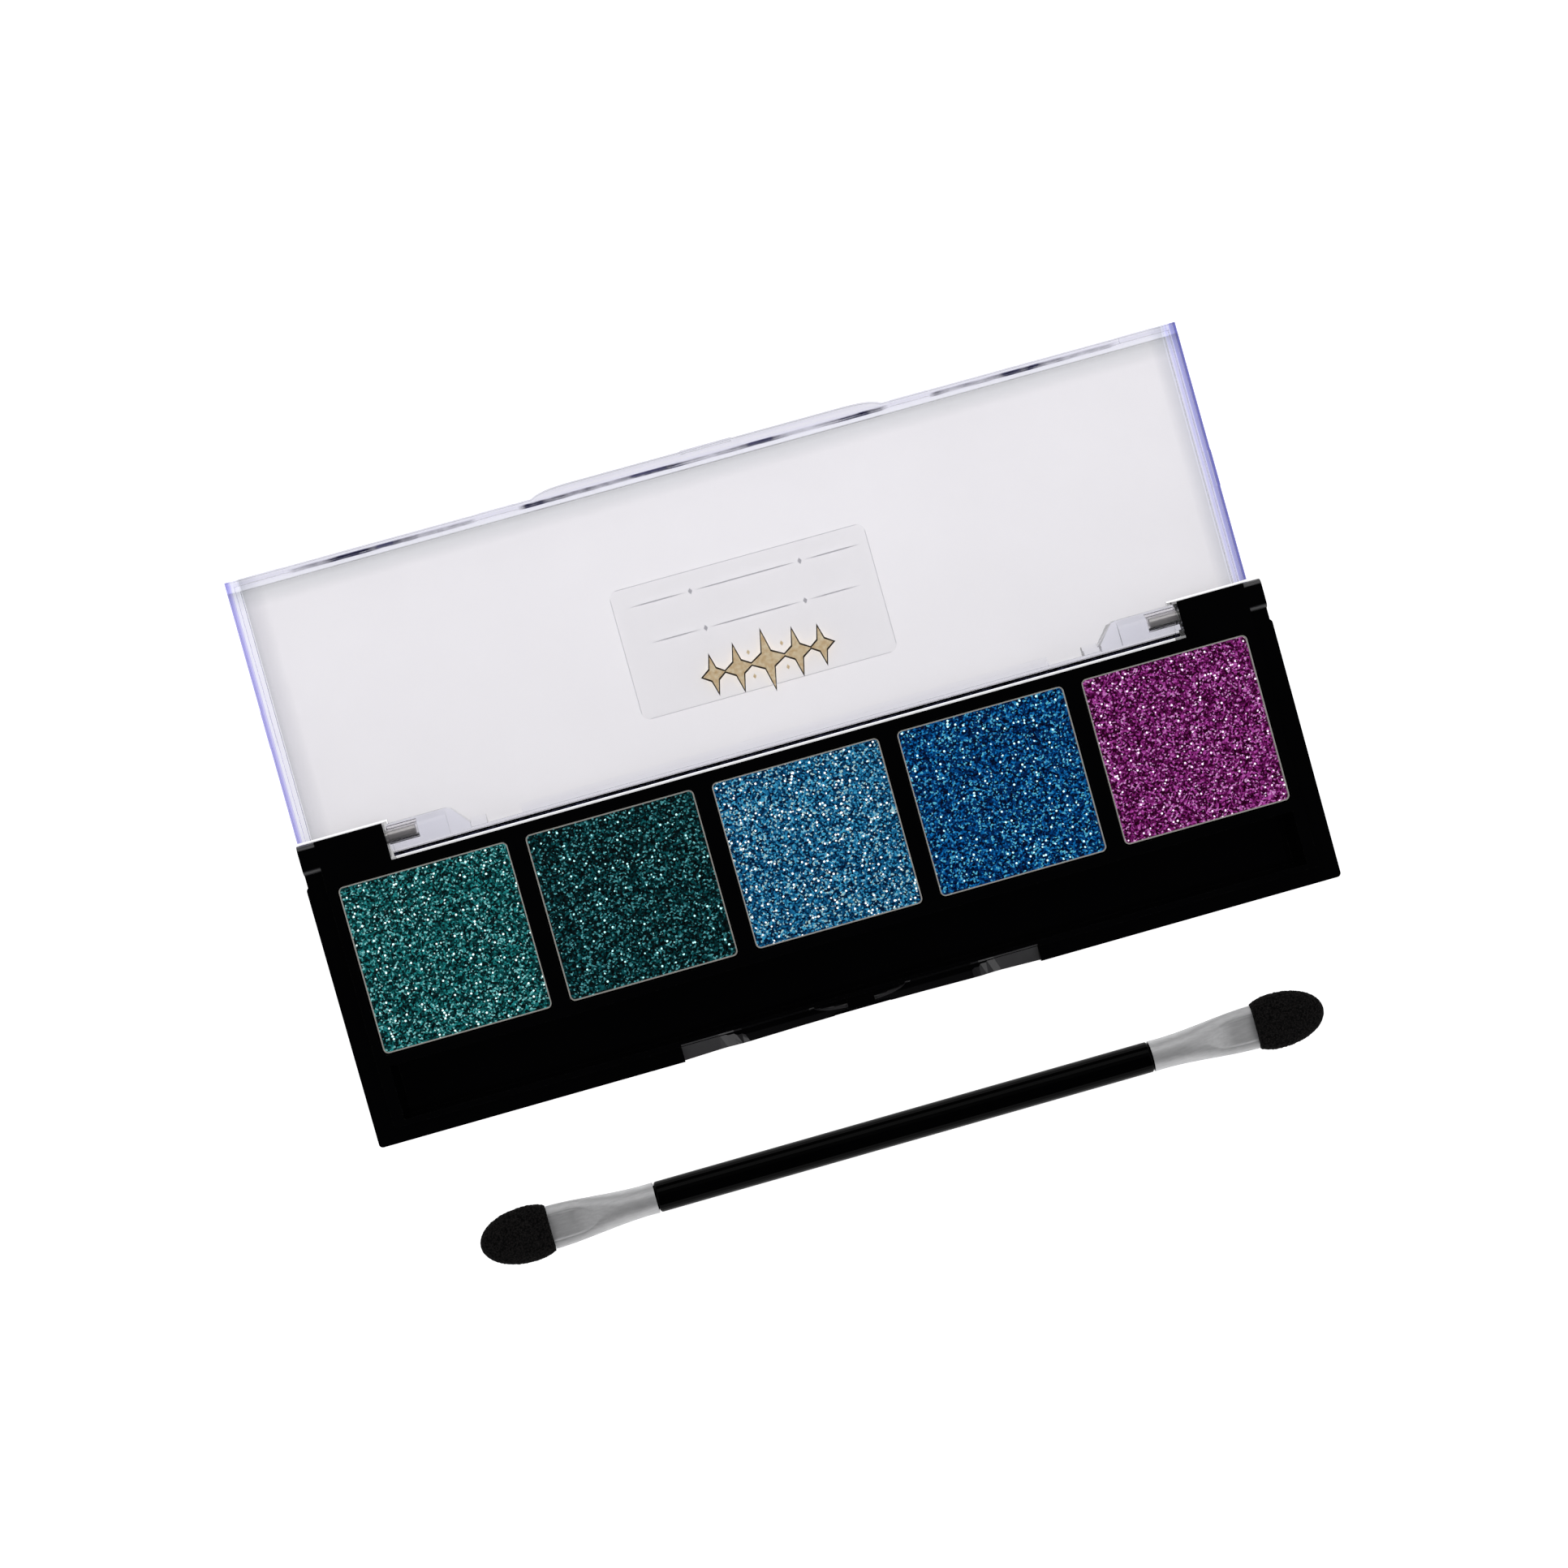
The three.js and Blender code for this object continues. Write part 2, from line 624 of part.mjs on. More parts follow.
function ferrule() {
  const outer = ferruleBody(0, [FERRULE_GAP, FERRULE_LENGTH - FERRULE_GAP]);
  return cut(outer, [ferruleBody(FERRULE_WALL, [FERRULE_GAP - BITE, FERRULE_LENGTH - FERRULE_GAP + BITE])]);
}

function stem(growth, [start, end]) {
  const halfWidth = STEM_WIDTH / 2 + growth;
  const halfThickness = STEM_THICKNESS / 2 + growth;
  return box([start, end], [-halfWidth, halfWidth], [-halfThickness, halfThickness]);
}

// Half-width of the sponge at a distance from its flat end.
function spongeRadius(along) {
  if (along < SPONGE_SHOULDER) {
    const inward = (SPONGE_SHOULDER - along) / SPONGE_SHOULDER;
    return SPONGE_HALF_WIDTH * (1 - SPONGE_SHOULDER_DROP * inward * inward);
  }
  const outward = (along - SPONGE_SHOULDER) / (SPONGE_LENGTH - SPONGE_SHOULDER);
  return SPONGE_HALF_WIDTH * Math.sqrt(1 - outward ** SPONGE_TIP_POWER);
}

function sponge() {
  const steps = 14;
  const profile = [[0, 0], [0, spongeRadius(0) - SPONGE_END_EDGE]];
  for (let i = 0; i < steps; i += 1) {
    const along = SPONGE_LENGTH * Math.sin((Math.PI / 2) * ((i + 1) / (steps + 1)));
    profile.push([along, spongeRadius(along)]);
  }
  profile.push([SPONGE_LENGTH, 0]);
  const egg = turned(profile, 32).scale(1, 1, SPONGE_HALF_THICKNESS / SPONGE_HALF_WIDTH);
  egg.translate(FERRULE_LENGTH, 0, 0);
  return cut(egg, [stem(STEM_PLAY, [FERRULE_LENGTH - BITE, STEM_END + STEM_PLAY])]);
}

// One end of the applicator, built towards +X from the handle's shoulder.
function addApplicatorEnd(parent, side, sideName) {
  const end = new THREE.Group();
  end.position.x = side * (HANDLE_LENGTH / 2);
  end.rotation.z = side < 0 ? Math.PI : 0;
  addPiece(end, `ferrule_${sideName}`, ferrule(), silverMetal());
  addPiece(end, `sponge_stem_${sideName}`, stem(0, [STEM_START, STEM_END]), material(0xf2f2f0, 0.4));
  addPiece(end, `sponge_${sideName}`, sponge(), material(0x151415, 0.95));
  parent.add(end);
}

// ---- assembly -----------------------------------------------------------------------------

function palette() {
  const base = new THREE.Group();
  addPiece(base, 'base_tray', baseTray(), blackPlastic());
  addPiece(base, 'bottom_cover', bottomCover(), blackPlastic());
  addPiece(base, 'hinge_pin_left', hingePin(-1), silverMetal());
  addPiece(base, 'hinge_pin_right', hingePin(1), silverMetal());
  for (let i = 0; i < PAN_COUNT; i += 1) {
    addPiece(base, `pan_${i + 1}`, pan(i), silverMetal());
    addPiece(base, `glitter_cake_${i + 1}`, glitterCake(i), material(GLITTER_COLOURS[i], 0.4, 0.5));
    addPiece(base, `pan_pad_${i + 1}`, panPad(i), material(0xe8e4d8, 0.9));
  }
  return base;
}

function openLid() {
  const group = new THREE.Group();
  group.position.set(0, HINGE_Y, HINGE_Z);
  group.rotation.x = Math.PI - THREE.MathUtils.degToRad(OPEN_TILT);
  addPiece(group, 'lid', lid(), clearPlastic());
  addPiece(group, 'lid_label', lidLabel(), clearPlastic());
  return group;
}

function applicator() {
  const group = new THREE.Group();
  group.position.set(APPLICATOR_X, APPLICATOR_Y, APPLICATOR_Z);
  addPiece(group, 'applicator_handle', handle(), blackPlastic());
  addApplicatorEnd(group, -1, 'left');
  addApplicatorEnd(group, 1, 'right');
  return group;
}

const eyeshadowPalette = new THREE.Group();
eyeshadowPalette.add(palette(), openLid(), applicator());

export default eyeshadowPalette;
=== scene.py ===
"""Looks of a five-pan glitter eyeshadow palette with a clear hinged lid and a sponge applicator.

Metres, +Z up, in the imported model's frame: +X runs along the palette and +Y points to the hinge.
The lid is open and the applicator lies in front. The camera looks nearly straight down.
"""
import json
import math
import random

import bpy
import bmesh
from mathutils import Matrix, Vector, noise


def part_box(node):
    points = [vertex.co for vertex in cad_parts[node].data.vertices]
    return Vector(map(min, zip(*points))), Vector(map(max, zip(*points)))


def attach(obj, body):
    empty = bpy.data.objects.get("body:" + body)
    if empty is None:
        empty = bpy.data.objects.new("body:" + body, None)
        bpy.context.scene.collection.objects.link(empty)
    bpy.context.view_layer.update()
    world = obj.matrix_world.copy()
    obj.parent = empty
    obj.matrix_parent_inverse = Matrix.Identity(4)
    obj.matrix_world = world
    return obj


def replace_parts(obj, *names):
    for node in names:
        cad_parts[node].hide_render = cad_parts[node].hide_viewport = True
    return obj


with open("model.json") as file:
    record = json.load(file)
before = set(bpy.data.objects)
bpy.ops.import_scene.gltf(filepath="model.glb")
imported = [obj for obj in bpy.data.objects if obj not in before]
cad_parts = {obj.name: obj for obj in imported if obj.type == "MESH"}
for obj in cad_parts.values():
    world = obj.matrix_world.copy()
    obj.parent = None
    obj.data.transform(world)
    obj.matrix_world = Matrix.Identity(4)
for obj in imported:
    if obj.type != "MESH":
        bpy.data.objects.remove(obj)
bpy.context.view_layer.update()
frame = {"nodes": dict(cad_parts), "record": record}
NODES = frame["nodes"]

MM = 0.001
PANS = (1, 2, 3, 4, 5)
SIDES = ("left", "right")

# ---- camera -------------------------------------------------------------------------------------

CAMERA_PLACE = (-16.785 * MM, 24.638 * MM, 374.98 * MM)
CAMERA_TILT_X = 2.242  # degrees off straight down
CAMERA_TILT_Y = 2.309
CAMERA_ROLL = 15.65  # turns the palette's right end up in the picture
LENS_MM = 70.84
SENSOR_MM = 36


def add_camera():
    """The photographer's camera, nearly straight above the palette."""
    data = bpy.data.cameras.new("camera")
    data.lens = LENS_MM
    data.sensor_width = SENSOR_MM
    camera = bpy.data.objects.new("camera", data)
    bpy.context.scene.collection.objects.link(camera)
    roll = Matrix.Rotation(math.radians(CAMERA_ROLL), 4, "Z")
    tilt_y = Matrix.Rotation(math.radians(CAMERA_TILT_Y), 4, "Y")
    tilt_x = Matrix.Rotation(math.radians(CAMERA_TILT_X), 4, "X")
    world_to_camera = roll @ tilt_y @ tilt_x
    camera.matrix_world = Matrix.Translation(CAMERA_PLACE) @ world_to_camera.inverted()
    bpy.context.scene.camera = camera


# ---- studio -------------------------------------------------------------------------------------

FLOOR_SIZE = 6
FLOOR_DROP = 0.02 * MM  # keeps the floor just clear of the undersides
FLOOR_COLOUR = (0.8, 0.8, 0.805)
FLOOR_MOTTLE = 1.01  # how much paler its palest patches are
FLOOR_GLOW_SEEN = 0.93  # paper seen directly
FLOOR_GLOW_NEAR = 0.7  # what the palette reflects and lets through
FLOOR_GLOW_FAR = 0.06
GLOW_NEAR_REACH = 0.11  # metres from the palette's middle where the glow starts to fade
GLOW_FAR_REACH = 0.3
BACKDROP_COLOUR = (0.97, 0.97, 0.98)
ROOM_COLOUR = (0.012, 0.0125, 0.014)

# name: (place, size, watts); every softbox faces the palette
SOFTBOXES = {
    "softbox_back": ((0.05, 0.62, 0.52), (1.2, 0.6), 2.3),
    "softbox_left": ((-0.68, 0.05, 0.5), (0.6, 0.9), 1.3),
    "softbox_right": ((0.68, -0.05, 0.5), (0.6, 0.9), 1.5),
    "softbox_front": ((0.0, -0.75, 0.24), (1.2, 0.42), 1.5),
}


def add_softbox(name, place, size, watts):
    """A rectangular lamp that faces the palette."""
    data = bpy.data.lights.new(name, "AREA")
    data.shape = "RECTANGLE"
    data.size, data.size_y = size
    data.energy = watts
    light = bpy.data.objects.new(name, data)
    light.location = place
    light.rotation_euler = Vector(place).to_track_quat("Z", "Y").to_euler()
    bpy.context.scene.collection.objects.link(light)


def add_room():
    """A dark room, with a pale backdrop wherever it is looked at directly."""
    world = bpy.data.worlds.new("room")
    world.use_nodes = True
    tree = world.node_tree
    ray = tree.nodes.new("ShaderNodeLightPath")
    mix = tree.nodes.new("ShaderNodeMix")
    mix.data_type = "RGBA"
    mix.inputs["A"].default_value = (*ROOM_COLOUR, 1)
    mix.inputs["B"].default_value = (*BACKDROP_COLOUR, 1)
    tree.links.new(ray.outputs["Is Camera Ray"], mix.inputs["Factor"])
    tree.links.new(mix.outputs["Result"], tree.nodes["Background"].inputs["Color"])
    bpy.context.scene.world = world


def floor_paper():
    """Pale glowing paper; its glow fades away from the palette, except where it is seen directly."""
    paper = finish("floor_paper", {"Roughness": 0.9, "Specular IOR Level": 0.1})
    shader_of(paper).inputs["Emission Color"].default_value = (1, 1, 1, 1)
    grain = noise_value(paper, 4, 3)
    colour_between(paper, grain, [(0, FLOOR_COLOUR), (1, tuple(FLOOR_MOTTLE * c for c in FLOOR_COLOUR))])
    away = add_node(paper, "ShaderNodeVectorMath", {0: places(paper)}, operation="LENGTH")
    fading = add_node(
        paper,
        "ShaderNodeMapRange",
        {
            "Value": away.outputs["Value"],
            "From Min": GLOW_NEAR_REACH,
            "From Max": GLOW_FAR_REACH,
            "To Min": FLOOR_GLOW_NEAR,
            "To Max": FLOOR_GLOW_FAR,
        },
    )
    ray = add_node(paper, "ShaderNodeLightPath", {})
    glow = add_node(
        paper,
        "ShaderNodeMix",
        {"Factor": ray.outputs["Is Camera Ray"], "A": fading.outputs["Result"], "B": FLOOR_GLOW_SEEN},
    )
    link_to_shader(paper, glow.outputs["Result"], "Emission Strength")
    return paper


def add_studio():
    """Room, softboxes and a floor of pale paper."""
    bpy.context.scene.view_settings.view_transform = "Standard"
    add_room()
    for name, (place, size, watts) in SOFTBOXES.items():
        add_softbox(name, place, size, watts)
    mesh = bpy.data.meshes.new("floor")
    half = FLOOR_SIZE / 2
    corners = [(-half, -half, 0), (half, -half, 0), (half, half, 0), (-half, half, 0)]
    mesh.from_pydata(corners, [], [(0, 1, 2, 3)])
    floor = bpy.data.objects.new("floor", mesh)
    floor.location.z = -FLOOR_DROP
    bpy.context.scene.collection.objects.link(floor)
    mesh.materials.append(floor_paper())


# ---- material building blocks -------------------------------------------------------------------

def finish(name, values):
    """A Principled material with these constant socket values."""
    material = bpy.data.materials.new(name)
    material.use_nodes = True
    for socket, value in values.items():
        if isinstance(value, tuple):
            value = (*value, 1)
        shader_of(material).inputs[socket].default_value = value
    return material


def shader_of(material):
    """The material's Principled shader."""
    return material.node_tree.nodes["Principled BSDF"]


def add_node(material, kind, inputs, **settings):
    """A new node; an input that is a socket gets linked, and any other value is set."""
    tree = material.node_tree
    node = tree.nodes.new(kind)
    for key, value in settings.items():
        setattr(node, key, value)
    for key, value in inputs.items():
        if isinstance(value, bpy.types.NodeSocket):
            tree.links.new(value, node.inputs[key])
        else:
            node.inputs[key].default_value = value
    return node


def link_to_shader(material, output, socket):
    """Feeds an output to one of the shader's sockets."""
    material.node_tree.links.new(output, shader_of(material).inputs[socket])


def places(material):
    """Positions in the palette's frame, in metres."""
    return add_node(material, "ShaderNodeTexCoord", {}).outputs["Object"]


def noise_value(material, grain_mm, detail, stretch=(1, 1, 1)):
    """Soft noise from 0 to 1 whose lumps are grain_mm across, stretched along an axis."""
    scaled = add_node(
        material,
        "ShaderNodeMapping",
        {"Vector": places(material), "Scale": [1 / (grain_mm * MM * s) for s in stretch]},
    )
    texture = add_node(
        material,
        "ShaderNodeTexNoise",
        {"Vector": scaled.outputs["Vector"], "Scale": 1, "Detail": detail, "Roughness": 0.6},
    )
    return texture.outputs["Fac"]


def cells(material, size_mm, **settings):
    """Random cells size_mm across; each has its own colour."""
    return add_node(
        material,
        "ShaderNodeTexVoronoi",
        {"Vector": places(material), "Scale": 1 / (size_mm * MM)},
        **settings,
    )


def slope(material):
    """0 on faces that lie flat in the palette's frame and 1 on upright ones."""
    facing = add_node(material, "ShaderNodeTexCoord", {}).outputs["Normal"]
    parts = add_node(material, "ShaderNodeSeparateXYZ", {"Vector": facing})
    flatness = add_node(material, "ShaderNodeMath", {0: parts.outputs["Z"]}, operation="ABSOLUTE")
    upright = add_node(material, "ShaderNodeMath", {0: 1, 1: flatness.outputs["Value"]}, operation="SUBTRACT")
    return upright.outputs["Value"]


def ramp(material, value, stops):
    """A colour ramp on value, from (position, colour) stops."""
    node = add_node(material, "ShaderNodeValToRGB", {"Fac": value})
    elements = node.color_ramp.elements
    while len(elements) < len(stops):
        elements.new(1)
    for element, (position, colour) in zip(elements, stops):
        element.position = position
        element.color = (*colour, 1)
    return node.outputs["Color"]


def colour_mix(material, share, first, second, **settings):
    """Blends two colours, each a socket or a constant."""
    inputs = {}
    for key, value in (("Factor", share), ("A", first), ("B", second)):
        inputs[key] = (*value, 1) if isinstance(value, tuple) else value
    return add_node(material, "ShaderNodeMix", inputs, data_type="RGBA", **settings).outputs["Result"]


def colour_between(material, value, stops, socket="Base Color"):
    """A colour ramp on value, fed to a shader socket."""
    link_to_shader(material, ramp(material, value, stops), socket)


def roughness_between(material, value, low, high):
    """Roughness from low to high as the value goes from 0 to 1."""
    spread = add_node(material, "ShaderNodeMapRange", {"Value": value, "To Min": low, "To Max": high})
    link_to_shader(material, spread.outputs["Result"], "Roughness")


def bump(material, heights):
    """Bumps from (height, depth in mm) pairs, one over the other."""
    normal = None
    for height, depth_mm in heights:
        inputs = {"Height": height, "Distance": depth_mm * MM}
        if normal is not None:
            inputs["Normal"] = normal
        normal = add_node(material, "ShaderNodeBump", inputs).outputs["Normal"]
    link_to_shader(material, normal, "Normal")


# ---- materials ----------------------------------------------------------------------------------

BLACK = (0, 0, 0)
WHITE = (1, 1, 1)
EDGE_HIGHLIGHT_BAND = [(0.04, BLACK), (0.1, WHITE), (0.62, WHITE), (0.78, BLACK)]  # slopes that get the painted edge highlight
GLOSS_DARK = (0.0006, 0.0006, 0.0008)
GLOSS_HAZE = (0.0014, 0.0014, 0.0017)
# Colours of the painted highlight on rounded edges.
TRAY_EDGE_HIGHLIGHT = (0.07, 0.069, 0.073)
HANDLE_EDGE_HIGHLIGHT = (0.001, 0.001, 0.001)
SATIN_DARK = (0.006, 0.006, 0.006)
SATIN_PALE = (0.011, 0.011, 0.012)
PIN_COLOUR = (0.85, 0.84, 0.82)
TIN_COLOUR = (1.0, 0.97, 0.9)
FERRULE_COLOUR = (0.82, 0.82, 0.83)


def gloss_black(name, roughness, shine, edge_highlight_colour):
    """Polished black moulding: faint haze, fine orange peel, rubbed patches, painted highlight on rounded
    edges.
    """
    material = finish(name, {"Specular IOR Level": shine})
    haze = ramp(material, noise_value(material, 9, 4), [(0.3, GLOSS_DARK), (0.8, GLOSS_HAZE)])
    # Painted highlight: the sloped faces of rounded edges get a paler colour.
    edge_highlight = ramp(material, slope(material), EDGE_HIGHLIGHT_BAND)
    link_to_shader(material, colour_mix(material, edge_highlight, haze, edge_highlight_colour), "Base Color")
    roughness_between(material, noise_value(material, 3, 5), roughness * 0.7, roughness * 1.5)
    bump(material, [(noise_value(material, 0.9, 2), 0.0012), (noise_value(material, 0.12, 3), 0.0004)])
    return material


def satin_black():
    """Textured black of the bottom cover."""
    material = finish("satin_black", {"Specular IOR Level": 0.4})
    colour_between(material, noise_value(material, 5, 4), [(0.2, SATIN_DARK), (0.8, SATIN_PALE)])
    roughness_between(material, noise_value(material, 1.2, 4), 0.38, 0.55)
    bump(material, [(cells(material, 0.14).outputs["Distance"], 0.012)])
    return material


def bright_metal(name, colour, roughness, stretch, dents_mm, metallic):
    """Drawn metal: streaks along the drawing direction and small dents."""
    material = finish(name, {"Metallic": metallic})
    streaks = noise_value(material, 0.25, 5, stretch)
    dark = tuple(0.8 * c for c in colour)
    colour_between(material, streaks, [(0.25, dark), (0.75, colour)])
    roughness_between(material, noise_value(material, 0.8, 4), roughness * 0.75, roughness * 1.3)
    bump(material, [(streaks, 0.002), (noise_value(material, 0.7, 2), dents_mm)])
    return material


LET_THROUGH = (0.885, 0.875, 0.9)  # lamp light that gets through each face of the lid
TINT = (0.2, 0.26, 0.72)
TINT_DENSITY = 34  # per metre
PANEL_TINT = (0.835, 0.82, 0.82)  # away from the walls

# Painted bands across the lid, as (millimetres in from its left end, colour) pairs and so on from its other
# ends: painted violet glints and light and dark lines along the outer walls, and painted shade beside the
# inner wall.
PAINTED_BANDS_FROM_LEFT = [
    (0.0, (0.5, 0.48, 0.86)),
    (0.4, (0.5, 0.48, 0.86)),
    (0.5, (0.93, 0.92, 0.96)),
    (1.05, (0.97, 0.96, 0.98)),
    (1.1, (0.72, 0.71, 0.78)),
    (1.2, (0.93, 0.92, 0.94)),
    (1.5, (0.95, 0.94, 0.96)),
    (1.55, (0.6, 0.6, 0.61)),
    (2.2, (0.7, 0.69, 0.7)),
    (4.2, PANEL_TINT),
]
PAINTED_BANDS_FROM_RIGHT = [
    (0.0, (0.82, 0.81, 0.86)),
    (0.12, (0.16, 0.16, 0.45)),
    (0.42, (0.24, 0.24, 0.62)),
    (0.5, (0.95, 0.94, 1.0)),
    (0.75, (0.97, 0.96, 1.0)),
    (0.85, (0.55, 0.54, 0.8)),
    (1.2, (0.75, 0.74, 0.9)),
    (1.5, (0.9, 0.9, 0.95)),
    (1.55, (0.66, 0.66, 0.68)),
    (3.4, PANEL_TINT),
]
PAINTED_BANDS_FROM_FAR_END = [
    (0.0, (0.75, 0.74, 0.76)),
    (0.7, (0.86, 0.85, 0.87)),
    (1.3, (0.8, 0.79, 0.84)),
    (2.05, (0.9, 0.9, 0.92)),
    (2.15, (0.6, 0.6, 0.6)),
    (2.9, (0.72, 0.72, 0.72)),
    (4.6, PANEL_TINT),
]
# A painted dark line along the far rim, standing in for a dark refraction.
PAINTED_RIM_LINE = [(1.2, BLACK), (1.25, WHITE), (1.6, WHITE), (1.65, BLACK), (5, BLACK)]
PAINTED_RIM_LINE_COLOUR = (0.01, 0.01, 0.03)
FEET_MM = (-54.9, -26.2, 25.2, 53.9)  # middles of the rim's feet, where the painted dark line breaks off
FOOT_REACH_MM = 3.4
FOOT_FADE_MM = 0.8
RIM_END_MM = 3  # no painted dark line this near the rim's ends


def distance_along(material, axis, start, direction=1):
    """Distance in metres from a plane, into the lid."""
    parts = add_node(material, "ShaderNodeSeparateXYZ", {"Vector": places(material)})
    offset = add_node(material, "ShaderNodeMath", {0: parts.outputs[axis], 1: start}, operation="SUBTRACT")
    inward = add_node(material, "ShaderNodeMath", {0: offset.outputs[0], 1: direction}, operation="MULTIPLY")
    return inward.outputs[0]


def banded(material, distance, bands):
    """A ramp whose stops are in millimetres along a distance."""
    reach = bands[-1][0]
    share = add_node(material, "ShaderNodeMath", {0: distance, 1: 1 / (reach * MM)}, operation="MULTIPLY")
    return ramp(material, share.outputs[0], [(place / reach, colour) for place, colour in bands])


def product(material, first, second):
    """Two colours multiplied."""
    return colour_mix(material, 1, first, second, blend_type="MULTIPLY")


def between_feet(material, low, high):
    """1 along the far rim between its feet, with soft ends, broken up: where the painted dark line shows."""
    width = (high.x - low.x) / MM
    stops = []
    for foot in FEET_MM:
        start = foot - low.x / MM - FOOT_REACH_MM
        end = foot - low.x / MM + FOOT_REACH_MM
        stops += [(start, WHITE), (start + FOOT_FADE_MM, BLACK), (end - FOOT_FADE_MM, BLACK), (end, WHITE)]
    stops = [(place, colour) for place, colour in stops if RIM_END_MM < place < width - RIM_END_MM]
    gaps = banded(material, distance_along(material, "X", low.x), [*stops, (width, BLACK)])
    breaks = ramp(material, noise_value(material, 7, 3), [(0.4, (0.25, 0.25, 0.25)), (0.6, WHITE)])
    return product(material, gaps, breaks)


def lid_tint(material):
    """The lid's colour across and in from its far end: painted light, shade and a painted dark rim line."""
    low, high = (Vector(corner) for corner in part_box("lid"))
    left = banded(material, distance_along(material, "X", low.x), PAINTED_BANDS_FROM_LEFT)
    right = banded(material, distance_along(material, "X", high.x, -1), PAINTED_BANDS_FROM_RIGHT)
    far = banded(material, distance_along(material, "Y", high.y, -1), PAINTED_BANDS_FROM_FAR_END)
    undo_panel = tuple(1 / c for c in PANEL_TINT)  # the three bands would tint the panel three times
    sides = product(material, product(material, left, right), undo_panel)
    whole = product(material, product(material, sides, far), undo_panel)
    # Painted dark rim line, laid over the painted light and shade bands.
    across_rim = banded(material, distance_along(material, "Y", high.y, -1), PAINTED_RIM_LINE)
    line = product(material, across_rim, between_feet(material, low, high))
    return colour_mix(material, line, whole, PAINTED_RIM_LINE_COLOUR)


def clear_plastic():
    """Clear moulding; its violet edge tint is partly real absorption and partly painted light.

    Lamps shine straight through it, so the floor under it isn't black.
    """
    values = {"Transmission Weight": 1.0, "IOR": 1.49, "Roughness": 0.0}
    material = finish("clear_plastic", values)
    haze = ramp(material, noise_value(material, 12, 3), [(0.2, (0.975, 0.975, 0.975)), (0.8, WHITE)])
    link_to_shader(material, product(material, lid_tint(material), haze), "Base Color")
    roughness_between(material, noise_value(material, 6, 5), 0.0, 0.02)
    bump(material, [(noise_value(material, 7, 3), 0.012)])
    tree = material.node_tree
    through = add_node(material, "ShaderNodeBsdfTransparent", {"Color": (*LET_THROUGH, 1)})
    ray = add_node(material, "ShaderNodeLightPath", {})
    mix = add_node(
        material,
        "ShaderNodeMixShader",
        {0: ray.outputs["Is Shadow Ray"], 1: shader_of(material).outputs["BSDF"], 2: through.outputs["BSDF"]},
    )
    tint = add_node(material, "ShaderNodeVolumeAbsorption", {"Color": (*TINT, 1), "Density": TINT_DENSITY})
    output = tree.nodes["Material Output"]
    tree.links.new(mix.outputs["Shader"], output.inputs["Surface"])
    tree.links.new(tint.outputs["Volume"], output.inputs["Volume"])
    return material


def label_film():
    """Thin clear sticker, a little greyer than the lid."""
    material = finish("label_film", {"Alpha": 0.022, "Specular IOR Level": 0.1})
    film = noise_value(material, 3, 4)
    colour_between(material, film, [(0.3, (0.12, 0.12, 0.13)), (0.7, (0.2, 0.2, 0.21))])
    roughness_between(material, noise_value(material, 2, 3), 0.12, 0.25)
    return material


def ink(name, low, high, glow):
    """Printed ink; the glow stands for light that comes through from behind."""
    material = finish(name, {"Emission Strength": glow})
    mottle = ramp(material, noise_value(material, 0.5, 4), [(0.3, low), (0.75, high)])
    link_to_shader(material, mottle, "Base Color")
    link_to_shader(material, mottle, "Emission Color")
    roughness_between(material, noise_value(material, 0.3, 3), 0.35, 0.5)
    return material


FOAM_TONES = [
    (0.04, (0.028, 0.025, 0.024)),
    (0.2, (0.011, 0.01, 0.01)),
    (0.4, (0.002, 0.002, 0.002)),
]


def foam_black():
    """Fine open-pored black foam."""
    material = finish("foam_black", {"Specular IOR Level": 0.1})
    pores = cells(material, 0.2, feature="F1").outputs["Distance"]
    mottle = noise_value(material, 0.35, 5)
    both = add_node(material, "ShaderNodeMath", {0: pores, 1: mottle}, operation="MULTIPLY").outputs["Value"]
    colour_between(material, both, FOAM_TONES)
    roughness_between(material, mottle, 0.85, 1.0)
    bump(material, [(noise_value(material, 0.11, 3), 0.05)])
    return material


def adhesive():
    """Cream glue of the pads under the pans."""
    material = finish("adhesive_pad", {})
    mottle = noise_value(material, 1.5, 4)
    colour_between(material, mottle, [(0.3, (0.7, 0.66, 0.56)), (0.8, (0.8, 0.77, 0.68))])
    roughness_between(material, noise_value(material, 1, 3), 0.6, 0.8)
    return material


def stem_plastic():
    """White plastic of the stems inside the sponges."""
    material = finish("stem_plastic", {})
    mottle = noise_value(material, 2, 4)
    colour_between(material, mottle, [(0.3, (0.8, 0.8, 0.79)), (0.8, (0.86, 0.86, 0.85))])
    roughness_between(material, noise_value(material, 1, 3), 0.3, 0.45)
    return material


